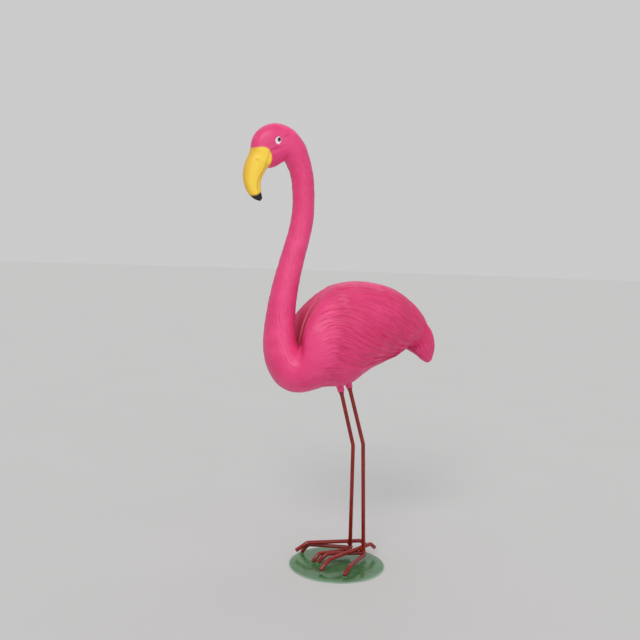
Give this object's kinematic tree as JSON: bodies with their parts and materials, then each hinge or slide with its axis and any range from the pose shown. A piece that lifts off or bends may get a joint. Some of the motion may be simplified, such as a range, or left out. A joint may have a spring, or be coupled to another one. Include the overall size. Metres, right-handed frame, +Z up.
{
  "type": "flamingo lawn ornament",
  "caption": "Pink moulded flamingo with an S-shaped neck and a hooked yellow beak, standing on bent wire legs with splayed toes on a round green steel base.",
  "frame": {"origin": "centre of the base disc's underside, on the ground", "axes": "+Z up, -X the way the bird looks, -Y its left side"},
  "size_m": [0.4185, 0.1963, 0.8788],
  "materials": {
    "pink_plastic": "satin paint on blow-moulded plastic, with a yellow beak, a black beak tip and white eyes with black pupils",
    "red_rod": "semi-gloss dark red paint",
    "green_plate": "glossy green paint"
  },
  "bodies": {
    "root": {"bird": "pink_plastic", "left_leg": "red_rod", "right_leg": "red_rod", "left_long_toe": "red_rod", "left_side_toes": "red_rod", "right_long_toe": "red_rod", "right_side_toes": "red_rod", "base_disc": "green_plate"}
  },
  "joints": []
}
